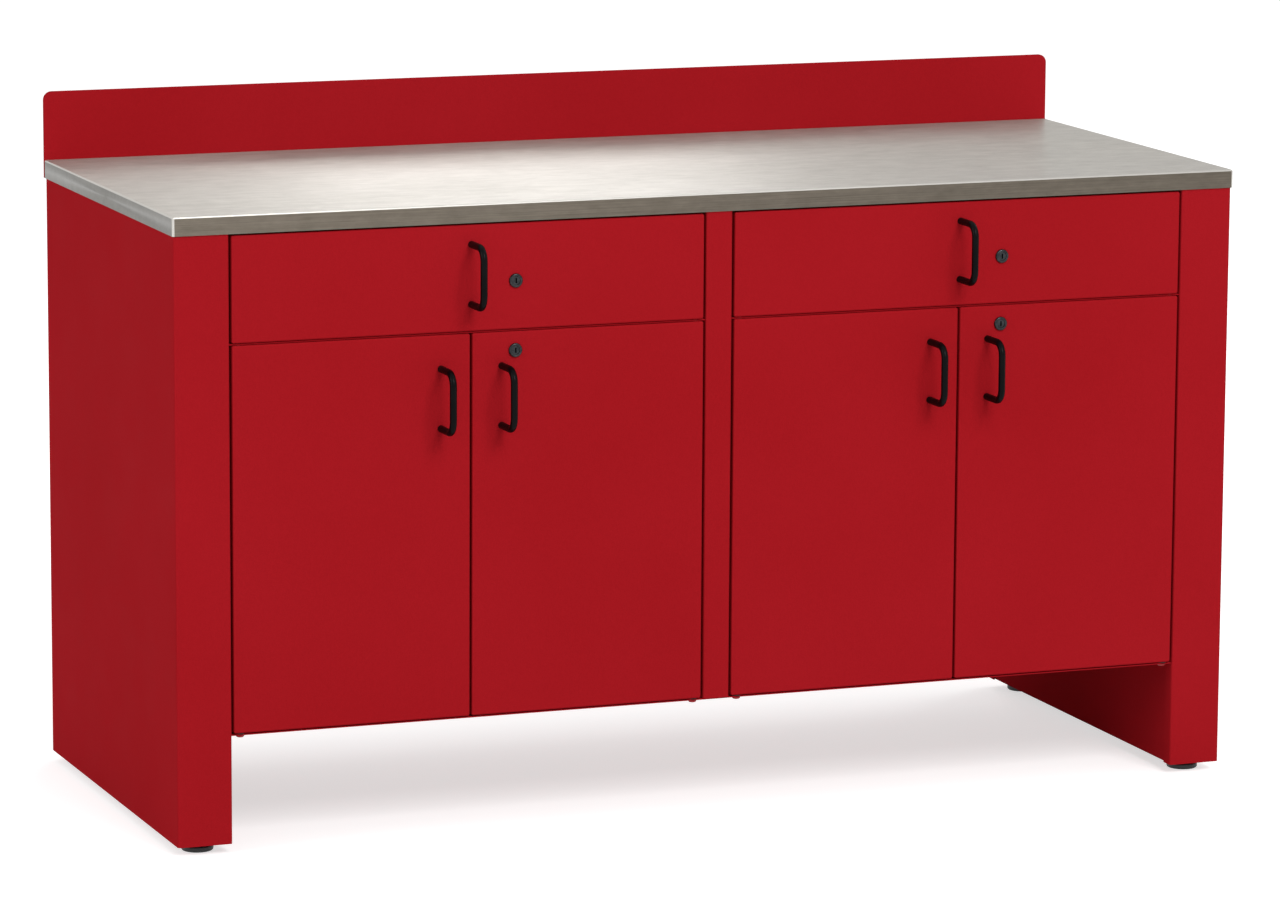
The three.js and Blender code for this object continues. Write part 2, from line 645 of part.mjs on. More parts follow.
// Wire pull: two legs out from the face, two bends and a straight vertical grip
class PullLine extends THREE.Curve {
  static steps = 2 * PULL_BEND_STEPS + 3;

  // Each step of the parameter is one straight run or one facet of a bend.
  getUtoTmapping(u) {
    return u;
  }

  getPoint(t, target = new THREE.Vector3()) {
    const half = PullLine.steps / 2;
    const step = t * PullLine.steps;
    const end = step > half ? -1 : 1;
    const along = half - Math.abs(step - half);
    const legEnd = PULL_BEND - PULL_PROJECTION;
    const gripEnd = PULL_CENTRES / 2 - PULL_BEND;
    if (along <= 1) {
      return target.set(0, THREE.MathUtils.lerp(-SEAT, legEnd, along), (end * PULL_CENTRES) / 2);
    }
    if (along <= 1 + PULL_BEND_STEPS) {
      const angle = ((along - 1) / PULL_BEND_STEPS) * (Math.PI / 2);
      const y = legEnd - PULL_BEND * Math.sin(angle);
      return target.set(0, y, end * (gripEnd + PULL_BEND * Math.cos(angle)));
    }
    return target.set(0, -PULL_PROJECTION, end * gripEnd * (half - along) * 2);
  }
}

function wirePull() {
  const section = new THREE.Shape();
  section.absarc(0, 0, WIRE_DIAMETER / 2, 0, Math.PI * 2);
  const points = section.getSpacedPoints(PULL_SIDES).slice(0, PULL_SIDES);
  const wire = new THREE.ExtrudeGeometry(new THREE.Shape(points), {
    steps: PullLine.steps,
    extrudePath: new PullLine(),
  });
  const screws = [-1, 1].map((end) => {
    const z = (end * PULL_CENTRES) / 2;
    return barAlongY(PULL_SCREW_DIAMETER, 0, z, -PULL_SCREW_DIAMETER, PULL_SCREW_LENGTH);
  });
  return join(wire, ...screws);
}

function pullHoles(x, z) {
  const diameter = PULL_SCREW_DIAMETER + 2 * HOLE_PLAY;
  return [-1, 1].map((end) => {
    const height = z + (end * PULL_CENTRES) / 2;
    return barAlongY(diameter, x, height, -PANEL_SHEET, 2 * PANEL_SHEET);
  });
}

function lockHole(x, z, y0, y1) {
  return barAlongY(LOCK_HOLE, x, z, y0, y1, LOCK_STEPS);
}

// Cam lock: bezel, barrel and nut around a bore; plug with keyway, cam and cam screw
function lockBody() {
  const bore = PLUG_DIAMETER / 2 + PLUG_PLAY;
  const barrel = BARREL_DIAMETER / 2;
  const rim = BEZEL_DIAMETER / 2;
  const round = BEZEL_HEIGHT / 2;
  const face = SEAT + BEZEL_HEIGHT;
  const sleeve = turned(
    [
      [bore, -BARREL_END],
      [barrel, -BARREL_END],
      [barrel, SEAT],
      [rim, SEAT],
      [rim, face - round],
      [rim - round / 3, face - round / 3],
      [rim - round, face],
      [bore, face],
      [bore, -BARREL_END],
    ],
    LOCK_STEPS,
  ).rotateX(Math.PI / 2);
  const nutFront = PANEL_SHEET + SEAT;
  const nutDiameter = LOCK_NUT_ACROSS / Math.cos(Math.PI / 6);
  const nut = cut(
    barAlongY(nutDiameter, 0, 0, nutFront, nutFront + LOCK_NUT_HEIGHT, HEX_SIDES),
    barAlongY(BARREL_DIAMETER - PLUG_PLAY, 0, 0, 0, FAR, LOCK_STEPS),
  );
  return join(sleeve, nut);
}

function lockPlug(camLength) {
  const front = PLUG_RECESS - SEAT - BEZEL_HEIGHT;
  const camRear = CAM_FRONT + CAM_THICKNESS;
  const plug = barAlongY(PLUG_DIAMETER, 0, 0, front, CAM_FRONT + CAM_THICKNESS / 2, LOCK_STEPS);
  const screwRear = camRear + CAM_SCREW_HEIGHT;
  const screw = barAlongY(CAM_SCREW_DIAMETER, 0, 0, CAM_FRONT, screwRear, HEX_SIDES);
  const round = CAM_WIDTH / 2;
  const outline = new THREE.Shape();
  outline.absarc(0, 0, round, Math.PI / 2, Math.PI * 1.5);
  outline.absarc(camLength - round, 0, round, -Math.PI / 2, Math.PI / 2);
  const cam = alongY(outline, CAM_FRONT, camRear);
  const across = KEYWAY_WIDTH / 2;
  const along = KEYWAY_LENGTH / 2;
  const keyway = block(-across, across, -FAR, front + KEYWAY_DEPTH, -along, along);
  return cut(join(plug, cam, screw), keyway);
}

function addLock(parent, name, x, z, camLength) {
  addMesh(parent, `${name}_lock_body`, lockBody(), "lockMetal", x, 0, z);
  addMesh(parent, `${name}_lock_plug`, lockPlug(camLength), "camSteel", x, 0, z);
}

// Drawer: tray on slides behind a pan-formed front
function drawerTray() {
  const tray = panFacingDown(TRAY_WIDTH, TRAY_DEPTH, TRAY_HEIGHT, PANEL_SHEET);
  const x = TRAY_WIDTH / 2 - PANEL_SHEET / 2;
  const y = TRAY_DEPTH / 2 - PANEL_SHEET / 2;
  const z0 = TRAY_HEIGHT - HEM_THICKNESS;
  const lockHeight = DRAWER_LOCK_HEIGHT - TRAY_BOTTOM;
  const frontWall = -TRAY_DEPTH / 2;
  const hole = lockHole(DRAWER_LOCK_ACROSS, lockHeight, frontWall - SEAT, frontWall + 2 * PANEL_SHEET);
  const hems = [
    block(-x, HEM_WIDTH - x, HEM_WIDTH - y, y, z0, TRAY_HEIGHT),
    block(x - HEM_WIDTH, x, HEM_WIDTH - y, y, z0, TRAY_HEIGHT),
    block(-x, x, y - HEM_WIDTH, y, z0, TRAY_HEIGHT),
  ];
  return cut(join(tray, ...hems), hole);
}

function drawerFront() {
  const front = panFacingFront(DRAWER_WIDTH, DRAWER_HEIGHT, FRONT_THICKNESS, PANEL_SHEET);
  const top = DRAWER_HEIGHT / 2;
  const hole = lockHole(DRAWER_LOCK_ACROSS, top - DRAWER_LOCK_DOWN, -PANEL_SHEET, 2 * PANEL_SHEET);
  return cut(front, hole, ...pullHoles(0, top - DRAWER_PULL_DOWN));
}

function addDrawer(side, centre) {
  const drawer = addGroup(body, centre, 0, 0);
  const name = `${side}_drawer`;
  const frontMiddle = DRAWER_BOTTOM + DRAWER_HEIGHT / 2;
  addMesh(drawer, `${name}_tray`, drawerTray(), "redPaint", 0, TRAY_FRONT + TRAY_DEPTH / 2, TRAY_BOTTOM);
  addMesh(drawer, `${name}_front`, drawerFront(), "redPaint", 0, 0, frontMiddle);
  addMesh(drawer, `${name}_pull`, wirePull(), "blackWire", 0, 0, DRAWER_TOP - DRAWER_PULL_DOWN);
  addLock(drawer, name, DRAWER_LOCK_ACROSS, DRAWER_LOCK_HEIGHT, DRAWER_CAM_LENGTH);
  for (const [end, sign] of Object.entries({ left: -1, right: 1 })) {
    const slide = `${name}_${end}_slide`;
    const place = [sign * (BAY_WIDTH / 2), SLIDE_FRONT, SLIDE_MIDDLE, sign < 0 ? 0 : Math.PI];
    const onEndPanel = sign * centre > 0;
    const outer = slideOuter(onEndPanel ? CARCASS_SHEET + SEAT : 0);
    addMesh(drawer, `${slide}_outer`, outer, "slideZinc", ...place);
    addMesh(drawer, `${slide}_middle`, slideMiddle(), "slideZinc", ...place);
    addMesh(drawer, `${slide}_inner`, slideInner(), "slideZinc", ...place);
  }
}

// Doors: outer skin and inner pan, turning on a rod through the top and bottom edges
function doorSkin(toFree, hasLock) {
  const skin = panFacingFront(DOOR_WIDTH, DOOR_HEIGHT, FRONT_THICKNESS, PANEL_SHEET);
  const x = toFree * (DOOR_WIDTH / 2);
  const top = DOOR_HEIGHT / 2;
  const rodDiameter = ROD_DIAMETER + 2 * HOLE_PLAY;
  const rodHole = barAlongZ(rodDiameter, toFree * PIVOT_IN - x, PIVOT_BACK, -DOOR_HEIGHT, DOOR_HEIGHT);
  const holes = [rodHole, ...pullHoles(x - toFree * DOOR_PULL_IN, top - DOOR_PULL_DOWN)];
  if (hasLock) {
    holes.push(lockHole(x - toFree * DOOR_LOCK_IN, top - DOOR_LOCK_DOWN, -PANEL_SHEET, 2 * PANEL_SHEET));
  }
  return cut(skin, ...holes);
}

function doorLiner(toFree, hasLock) {
  const inset = 2 * (PANEL_SHEET + SEAT);
  const liner = panFacingRear(DOOR_WIDTH - inset, DOOR_HEIGHT - inset, DOOR_LINER_DEPTH, PANEL_SHEET);
  liner.translate(0, FRONT_THICKNESS - DOOR_LINER_DEPTH, 0);
  if (!hasLock) return liner;
  const x = toFree * (DOOR_WIDTH / 2 - DOOR_LOCK_IN);
  return cut(liner, lockHole(x, DOOR_HEIGHT / 2 - DOOR_LOCK_DOWN, PANEL_SHEET, FAR));
}

function hingeRod() {
  const radius = ROD_DIAMETER / 2;
  const headTop = TOE_HEIGHT - SEAT;
  const headRadius = ROD_HEAD_DIAMETER / 2;
  return turned(
    [
      [0, headTop - ROD_HEAD_HEIGHT],
      [headRadius - ROD_HEAD_HEIGHT / 2, headTop - ROD_HEAD_HEIGHT],
      [headRadius, headTop - ROD_HEAD_HEIGHT / 2],
      [headRadius, headTop],
      [radius, headTop],
      [radius, RAIL_LIP_TOP],
      [0, RAIL_LIP_TOP],
    ],
    ROUND_STEPS,
  );
}

function addDoor(name, hingeX, toFree, hasLock) {
  const door = addGroup(body, hingeX, PIVOT_BACK, DOOR_BOTTOM);
  const x = toFree * (DOOR_WIDTH / 2 - PIVOT_IN);
  const z = DOOR_HEIGHT / 2;
  addMesh(door, `${name}_skin`, doorSkin(toFree, hasLock), "redPaint", x, -PIVOT_BACK, z);
  addMesh(door, `${name}_liner`, doorLiner(toFree, hasLock), "redPaint", x, -PIVOT_BACK, z);
  const pull = addGroup(door, toFree * (DOOR_WIDTH - PIVOT_IN - DOOR_PULL_IN), -PIVOT_BACK, 0);
  addMesh(pull, `${name}_pull`, wirePull(), "blackWire", 0, 0, DOOR_HEIGHT - DOOR_PULL_DOWN);
  if (hasLock) {
    const lock = addGroup(door, 0, -PIVOT_BACK, 0);
    const lockX = toFree * (DOOR_WIDTH - PIVOT_IN - DOOR_LOCK_IN);
    addLock(lock, name, lockX, DOOR_HEIGHT - DOOR_LOCK_DOWN, DOOR_CAM_LENGTH);
  }
  addMesh(body, `${name}_hinge_rod`, hingeRod(), "rodSteel", hingeX, PIVOT_BACK, 0);
}

function addDoors() {
  const [leftEnd, leftStile, rightStile, rightEnd] = hingeAxes();
  addDoor("left_bay_left_door", leftEnd, 1, false);
  addDoor("left_bay_right_door", leftStile, -1, true);
  addDoor("right_bay_left_door", rightStile, 1, false);
  addDoor("right_bay_right_door", rightEnd, -1, true);
}

// Levelling foot: pad, nut and stud in one turned piece, screwed up into the end panel
function levellingFoot() {
  const pad = FOOT_DIAMETER / 2;
  const stud = STUD_DIAMETER / 2;
  const shoulder = LEG_BOTTOM - SEAT;
  const profile = turned(
    [
      [0, 0],
      [pad - FOOT_EDGE, 0],
      [pad - FOOT_EDGE / 4, FOOT_EDGE / 4],
      [pad, FOOT_EDGE],
      [pad, FOOT_PAD_HEIGHT - FOOT_EDGE],
      [pad - FOOT_EDGE, FOOT_PAD_HEIGHT],
      [stud, FOOT_PAD_HEIGHT],
      [stud, LEG_BOTTOM + STUD_LENGTH],
      [0, LEG_BOTTOM + STUD_LENGTH],
    ],
    FOOT_STEPS,
  );
  const nutDiameter = FOOT_NUT_ACROSS / Math.cos(Math.PI / 6);
  const nut = barAlongZ(nutDiameter, 0, 0, FOOT_PAD_HEIGHT - FOOT_EDGE, shoulder, HEX_SIDES);
  return join(profile, nut);
}

function addFeet() {
  const x = CARCASS_HALF - END_WIDTH / 2;
  const depths = { front: FOOT_SETBACK, rear: CARCASS_DEPTH - FOOT_SETBACK };
  for (const [end, y] of Object.entries(depths)) {
    addMesh(body, `${end}_left_foot`, levellingFoot(), "footBlack", -x, y, 0);
    addMesh(body, `${end}_right_foot`, levellingFoot(), "footBlack", x, y, 0);
  }
}

addWorktop();
addBacksplash();
addEnds();
addFloor();
addTopRail();
addDrawerRail();
addDivider();
addBackPanel();
for (const [side, centre] of Object.entries({ left: -BAY_CENTRE, right: BAY_CENTRE })) {
  addShelf(side, centre);
  addDrawer(side, centre);
}
addDoors();
addFeet();

export default bench;
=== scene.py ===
"""Looks of the steel workbench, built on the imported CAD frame. Metres, +X right, +Y rear, +Z up."""
import json
import math

import bmesh
import bpy
from mathutils import Matrix, Vector


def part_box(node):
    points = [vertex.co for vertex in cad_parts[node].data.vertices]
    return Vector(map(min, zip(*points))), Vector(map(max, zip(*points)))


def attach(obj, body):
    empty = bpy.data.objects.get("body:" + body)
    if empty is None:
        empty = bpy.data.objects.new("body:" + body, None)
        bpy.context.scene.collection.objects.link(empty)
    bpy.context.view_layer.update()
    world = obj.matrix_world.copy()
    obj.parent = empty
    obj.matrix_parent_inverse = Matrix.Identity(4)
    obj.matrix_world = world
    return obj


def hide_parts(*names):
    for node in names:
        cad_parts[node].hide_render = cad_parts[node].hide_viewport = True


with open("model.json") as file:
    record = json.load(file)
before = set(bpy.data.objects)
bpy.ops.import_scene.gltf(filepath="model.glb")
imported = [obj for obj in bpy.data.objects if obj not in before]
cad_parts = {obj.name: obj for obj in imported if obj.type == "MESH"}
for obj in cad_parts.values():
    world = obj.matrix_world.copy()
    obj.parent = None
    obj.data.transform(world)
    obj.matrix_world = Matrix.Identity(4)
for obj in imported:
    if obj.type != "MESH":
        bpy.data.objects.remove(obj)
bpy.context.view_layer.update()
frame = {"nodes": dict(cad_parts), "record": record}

# Camera fitted to the photograph
CAMERA_PLACE = Vector((-2.9522, -7.6583, 1.9099))
CAMERA_YAW = math.radians(21.057)
CAMERA_PITCH = math.radians(10.095)
CAMERA_ROLL = math.radians(0.334)
CAMERA_LENS_MM = 168.61
CAMERA_SENSOR_MM = 36.0
CAMERA_FAR = 200.0

SMOOTH_ANGLE = math.radians(50)  # folds flatter than this shade as one curve
WELD_DISTANCE = 0.00001

# Small fittings, in metres
ROUND_STEPS = 24
BLOCK_BEND_STEPS = 3
RIVET_RADIUS = 0.0035
RIVET_HEIGHT = 0.0014
SCREW_RADIUS = 0.0045
SCREW_HEIGHT = 0.0006
SCREW_SUNK = 0.0014
RECESS_DEPTH = 0.0012
BUMPER_RADIUS = 0.0045
BUMPER_INSET = 0.030
BUMPER_BELOW_TOP = 0.0065  # of a door
BUMPER_ABOVE_BOTTOM = 0.009
CLOSED_GAP = 0.0003  # left between a closed door and what it meets
CATCH_SIZE = Vector((0.062, 0.024, 0.0125))
CATCH_BEND = 0.0012
MAGNET_SIZE = Vector((0.020, 0.003, 0.0075))
MAGNET_BEND = 0.0005
MAGNET_OFFSET = 0.017  # either side of the middle of a bay
MAGNET_PROUD = 0.001  # of its housing
STRIKE_SIZE = Vector((0.024, 0.0012, 0.0135))
STRIKE_BEND = 0.0004
WASHER_RADIUS = 0.006
WASHER_BORE = 0.0034
WASHER_THICKNESS = 0.0011
TRAY_SHEET = 0.0012
SLIDE_SHEET = 0.0012
RIVET_SHARES = (0.12, 0.5, 0.88)  # of the length of a slide
BACK_RIVET_EDGE = 0.010  # from the edge of the back panel
BACK_RIVET_ROWS = 6
BACK_RIVETS_BETWEEN = 3  # along the bottom, between the middle and each end
BACK_SCREW_REACH = 0.7
BACK_SCREW_COLUMNS = 8
BEADS = 6
BEAD_WIDTH = 0.036
BEAD_HEIGHT = 0.0028
BEAD_MARGIN = 0.045

# Levelling feet, in metres
FOOT_PAD_TOP = 0.008
FOOT_PAD_EDGE = 0.0025
FOOT_EDGE_STEPS = 4
NUT_ACROSS = 0.019
NUT_FACE = 0.009  # radius of the flat ring left on top of a nut
NUT_CONE = math.tan(math.radians(30))
NUT_GAP = 0.0003  # below the leg
NUT_SUNK = 0.0005  # into the pad
THREAD_RADIUS = 0.006
THREAD_DEPTH = 0.0011
THREAD_PITCH = 0.00175
THREAD_STEPS = 16  # in each turn
THREAD_SHARES = (0.0, 0.36, 0.49, 0.85)  # of the pitch, where the corners of the tooth are
THREAD_SUNK = 0.002  # into the nut

# Where one finish ends and the next starts, in metres
FINISH_BLEND = 0.0004
PLUG_BLACK_DEPTH = 0.012  # behind the face of a door
PIN_HEAD_TOP = 0.161  # what shows of a hinge pin below and above its door is painted
PIN_TIP_BOTTOM = 0.6775

# White studio
FLOOR_HALF = 40.0
FLOOR_COLOUR = (0.70, 0.70, 0.70, 1.0)
FLOOR_GLOW = 0.62  # makes the floor white to the eye and adds no light
WORLD_LIGHT = 0.55
WORLD_SEEN = 1.0
WHITE = (1.0, 1.0, 1.0, 1.0)

# Sockets of a colour Mix node, which share their names with those for plain values
MIX_SHARE = 0
MIX_FIRST = 6
MIX_SECOND = 7
MIX_RESULT = 2


def srgb(red, green, blue):
    """Linear colour from display values of 0 to 255."""
    def linear(value):
        share = value / 255
        return share / 12.92 if share <= 0.04045 else ((share + 0.055) / 1.055) ** 2.4
    return (linear(red), linear(green), linear(blue), 1.0)


class Shader:
    """One procedural material: a Principled shader and the nodes that feed it."""

    def __init__(self, name, **sockets):
        self.material = bpy.data.materials.new(name)
        self.material.use_nodes = True
        self.tree = self.material.node_tree
        self.tree.nodes.clear()
        self.principled = self.add("ShaderNodeBsdfPrincipled", **sockets)
        output = self.add("ShaderNodeOutputMaterial")
        self.tree.links.new(self.principled.outputs[0], output.inputs["Surface"])
        self.place = self.add("ShaderNodeTexCoord").outputs["Object"]

    def add(self, kind, settings=None, **sockets):
        node = self.tree.nodes.new(kind)
        for key, value in (settings or {}).items():
            setattr(node, key, value)
        for key, value in sockets.items():
            self.feed(node, key.replace("_", " "), value)
        return node

    def feed(self, node, socket, value):
        target = node.inputs[socket]
        if isinstance(value, bpy.types.NodeSocket):
            self.tree.links.new(value, target)
        else:
            target.default_value = value

    def set(self, **sockets):
        for key, value in sockets.items():
            self.feed(self.principled, key.replace("_", " "), value)

    def stretched(self, scale):
        mapping = self.add("ShaderNodeMapping", Vector=self.place, Scale=scale)
        return mapping.outputs[0]

    def noise(self, scale, detail=2.0, roughness=0.5, place=None):
        node = self.add("ShaderNodeTexNoise", Scale=scale, Detail=detail, Roughness=roughness,
                        Vector=place or self.place)
        return node.outputs["Fac"]

    def spread(self, value, low=0.0, high=1.0, start=0.3, end=0.7):
        node = self.add("ShaderNodeMapRange", Value=value)
        self.feed(node, "From Min", start)
        self.feed(node, "From Max", end)
        self.feed(node, "To Min", low)
        self.feed(node, "To Max", high)
        return node.outputs[0]

    def blend(self, share, first, second):
        node = self.add("ShaderNodeMix", {"data_type": "RGBA"})
        self.feed(node, MIX_SHARE, share)
        self.feed(node, MIX_FIRST, first)
        self.feed(node, MIX_SECOND, second)
        return node.outputs[MIX_RESULT]

    def math(self, operation, *values):
        node = self.add("ShaderNodeMath", {"operation": operation})
        for index, value in enumerate(values):
            self.feed(node, index, value)
        return node.outputs[0]

    def axis(self, letter):
        return self.add("ShaderNodeSeparateXYZ", Vector=self.place).outputs[letter]

    def facing(self, letter):
        normal = self.add("ShaderNodeNewGeometry").outputs["True Normal"]
        return self.add("ShaderNodeSeparateXYZ", Vector=normal).outputs[letter]

    def bump(self, height, strength, distance, normal=None):
        node = self.add("ShaderNodeBump", Strength=strength, Distance=distance, Height=height)
        if normal is not None:
            self.feed(node, "Normal", normal)
        return node.outputs[0]


def red_powder_coat():
    """Satin powder coat: fine orange peel, slow drift in tone and faint handling marks."""
    shader = Shader("red_powder_coat", Metallic=0.0, Specular_IOR_Level=0.001)
    drift = shader.noise(scale=2.3, detail=3.0, roughness=0.55)
    speckle = shader.noise(scale=420.0, detail=2.0, roughness=0.6)
    tone = shader.blend(shader.spread(drift), srgb(162, 24, 31), srgb(168, 27, 35))
    grain = shader.spread(speckle, low=0.0, high=0.16)
    colour = shader.blend(grain, tone, srgb(130, 14, 20))
    marks = shader.noise(scale=11.0, detail=5.0, roughness=0.62)
    gloss = shader.spread(marks, low=0.46, high=0.56, start=0.35, end=0.7)
    peel = shader.noise(scale=650.0, detail=2.0, roughness=0.45)
    ripple = shader.noise(scale=90.0, detail=2.0, roughness=0.5)
    coarse = shader.bump(ripple, strength=0.12, distance=0.0012)
    fine = shader.bump(peel, strength=0.45, distance=0.0003, normal=coarse)
    shader.set(Base_Color=colour, Roughness=gloss, Normal=fine)
    return shader.material


def brushed_stainless():
    """Sheet brushed along the length of the worktop, with fine scratches and wiped patches, painted shade
    on its front edge and ends, and a painted highlight on its bends.
    """
    shader = Shader("brushed_stainless", Metallic=0.8, Specular_IOR_Level=0.2, Anisotropic=0.85)
    along = shader.stretched((3.0, 900.0, 900.0))
    long_grain = shader.noise(scale=1.0, detail=4.0, roughness=0.6, place=along)
    finer = shader.stretched((26.0, 2400.0, 2400.0))
    short_grain = shader.noise(scale=1.0, detail=2.0, roughness=0.6, place=finer)
    wiped = shader.noise(scale=3.1, detail=4.0, roughness=0.6)
    grain = shader.math("ADD", long_grain, shader.math("MULTIPLY", short_grain, 0.6))
    patches = shader.stretched((30.0, 70.0, 70.0))
    mottle = shader.noise(scale=1.0, detail=3.0, roughness=0.65, place=patches)
    tones = shader.math("ADD", grain, shader.math("MULTIPLY", mottle, 0.6))
    shade = shader.spread(tones, start=0.8, end=1.4)
    # painted light and shade: one steel in lit and shaded tones chosen by which way a face points, lightest
    # on top, darker on the front edge and the ends
    top = shader.blend(shade, srgb(144, 140, 134), srgb(184, 180, 173))
    front = shader.blend(shade, srgb(88, 82, 73), srgb(113, 105, 95))
    end = shader.blend(shade, srgb(113, 111, 107), srgb(137, 135, 130))
    sideways = shader.math("ABSOLUTE", shader.facing("X"))
    frontways = shader.math("ABSOLUTE", shader.facing("Y"))
    upright = shader.math("MAXIMUM", sideways, frontways)
    squareness = shader.math("MAXIMUM", upright, shader.facing("Z"))
    # painted shade: the darker tones for the front edge and the ends
    edge = shader.blend(shader.spread(sideways, start=0.4, end=0.6), front, end)
    upward = shader.spread(shader.facing("Z"), start=0.2, end=0.6)
    across = shader.add("ShaderNodeTangent", {"direction_type": "RADIAL", "axis": "X"})
    # painted highlight: a pale colour along the rounded bends between faces
    painted_bend_highlight = shader.spread(squareness, low=1.0, high=0.0, start=0.93, end=0.98)
    # painted light and shade: the lighter tone on faces that point up, the darker ones on the front edge
    # and the ends
    sheet_with_painted_shade = shader.blend(upward, edge, top)
    shader.set(Base_Color=shader.blend(painted_bend_highlight, sheet_with_painted_shade, srgb(196, 193, 187)))
    shader.set(Roughness=shader.spread(wiped, low=0.34, high=0.42))
    shader.set(Normal=shader.bump(grain, strength=0.10, distance=0.0004), Tangent=across.outputs[0])
    return shader.material


def particle_board():
    """Pressed wood chips in several shades."""
    shader = Shader("particle_board", Metallic=0.0, Roughness=0.85)
    chips = shader.add("ShaderNodeTexVoronoi", Vector=shader.stretched((220.0, 220.0, 420.0)), Scale=1.0)
    tone = shader.add("ShaderNodeSeparateColor", Color=chips.outputs["Color"]).outputs[0]
    colour = shader.blend(tone, srgb(122, 92, 58), srgb(186, 152, 106))
    shader.set(Base_Color=colour, Normal=shader.bump(tone, strength=0.25, distance=0.0006))
    return shader.material


def black_coat():
    """Black dipped wire: satin with a very fine texture."""
    shader = Shader("black_wire_coat", Metallic=0.0, Specular_IOR_Level=0.07)
    texture = shader.noise(scale=900.0, detail=3.0, roughness=0.55)
    drift = shader.noise(scale=30.0, detail=2.0, roughness=0.5)
    colour = shader.blend(shader.spread(drift), srgb(3, 3, 4), srgb(9, 9, 10))
    shader.set(Base_Color=colour, Roughness=shader.spread(texture, low=0.30, high=0.40))
    shader.set(Normal=shader.bump(texture, strength=0.06, distance=0.0002))
    return shader.material


def rubber():
    """Matt black rubber with a dusty bloom."""
    shader = Shader("black_rubber", Metallic=0.0, Specular_IOR_Level=0.3)
    bloom = shader.noise(scale=160.0, detail=3.0, roughness=0.6)
    colour = shader.blend(shader.spread(bloom), srgb(20, 20, 21), srgb(38, 38, 39))
    shader.set(Base_Color=colour, Roughness=shader.spread(bloom, low=0.62, high=0.78))
    shader.set(Normal=shader.bump(bloom, strength=0.2, distance=0.0003))
    return shader.material


def bright_zinc():
    """Zinc plate with a cloudy tone and fine grain."""
    shader = Shader("bright_zinc", Metallic=1.0)
    cloud = shader.noise(scale=60.0, detail=3.0, roughness=0.6)
    grain = shader.noise(scale=500.0, detail=2.0, roughness=0.5)
    colour = shader.blend(shader.spread(cloud), srgb(166, 170, 174), srgb(196, 199, 202))
    shader.set(Base_Color=colour, Roughness=shader.spread(grain, low=0.28, high=0.40))
    shader.set(Normal=shader.bump(grain, strength=0.08, distance=0.0002))
    return shader.material


def lock_finish(name, plate_from):
    """Black nickel in front of plate_from along Y, bright zinc behind it."""
    shader = Shader(name, Metallic=1.0)
    cloud = shader.noise(scale=140.0, detail=3.0, roughness=0.6)
    grain = shader.noise(scale=900.0, detail=2.0, roughness=0.5)
    black = shader.blend(shader.spread(cloud), srgb(38, 40, 42), srgb(62, 64, 66))
    zinc = shader.blend(shader.spread(cloud), srgb(150, 148, 138), srgb(180, 176, 162))
    behind = shader.spread(shader.axis("Y"), start=plate_from, end=plate_from + FINISH_BLEND)
    shader.set(Base_Color=shader.blend(behind, black, zinc))
    shader.set(Roughness=shader.spread(grain, low=0.26, high=0.38))
    shader.set(Normal=shader.bump(grain, strength=0.08, distance=0.0002))
    return shader.material


def foot_finish():
    """Black pad below, zinc nut and threaded stud above."""
    shader = Shader("foot_pad_and_stud")
    above = shader.spread(shader.axis("Z"), start=FOOT_PAD_TOP, end=FOOT_PAD_TOP + FINISH_BLEND)
    bloom = shader.noise(scale=240.0, detail=3.0, roughness=0.6)
    pad = shader.blend(shader.spread(bloom), srgb(18, 18, 19), srgb(36, 36, 38))
    zinc = shader.blend(shader.spread(bloom), srgb(140, 143, 146), srgb(176, 178, 180))
    shader.set(Base_Color=shader.blend(above, pad, zinc), Metallic=above)
    shader.set(Roughness=shader.spread(bloom, low=0.42, high=0.60))
    shader.set(Normal=shader.bump(bloom, strength=0.1, distance=0.0003))
    return shader.material


def pin_finish():
    """Drawn steel pin, its two ends painted with the cabinet."""
    shader = Shader("hinge_pin_finish")
    height = shader.axis("Z")
    above = shader.spread(height, start=PIN_HEAD_TOP, end=PIN_HEAD_TOP + FINISH_BLEND)
    below = shader.spread(height, low=1.0, high=0.0,
                          start=PIN_TIP_BOTTOM - FINISH_BLEND, end=PIN_TIP_BOTTOM)
    inside = shader.math("MULTIPLY", above, below)
    lengthwise = shader.stretched((900.0, 900.0, 12.0))
    drawn = shader.noise(scale=1.0, detail=3.0, roughness=0.6, place=lengthwise)
    steel = shader.blend(shader.spread(drawn), srgb(138, 138, 139), srgb(168, 168, 168))
    paint = shader.blend(shader.spread(drawn), srgb(156, 22, 29), srgb(164, 25, 32))
    shader.set(Base_Color=shader.blend(inside, paint, steel), Metallic=inside)
    shader.set(Roughness=shader.spread(drawn, low=0.36, high=0.50))
    shader.set(Normal=shader.bump(drawn, strength=0.1, distance=0.0003))
    return shader.material


DOOR_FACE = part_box("left_bay_left_door_skin")[0].y
MATERIALS = {
    "red_paint": red_powder_coat(),
    "stainless": brushed_stainless(),
    "core_board": particle_board(),
    "black_wire": black_coat(),
    "lock_metal": lock_finish("lock_body_finish", DOOR_FACE),
    "cam_steel": lock_finish("lock_plug_finish", DOOR_FACE + PLUG_BLACK_DEPTH),
    "slide_zinc": bright_zinc(),
    "rod_steel": pin_finish(),
    "foot_black": foot_finish(),
    "rubber": rubber(),
}


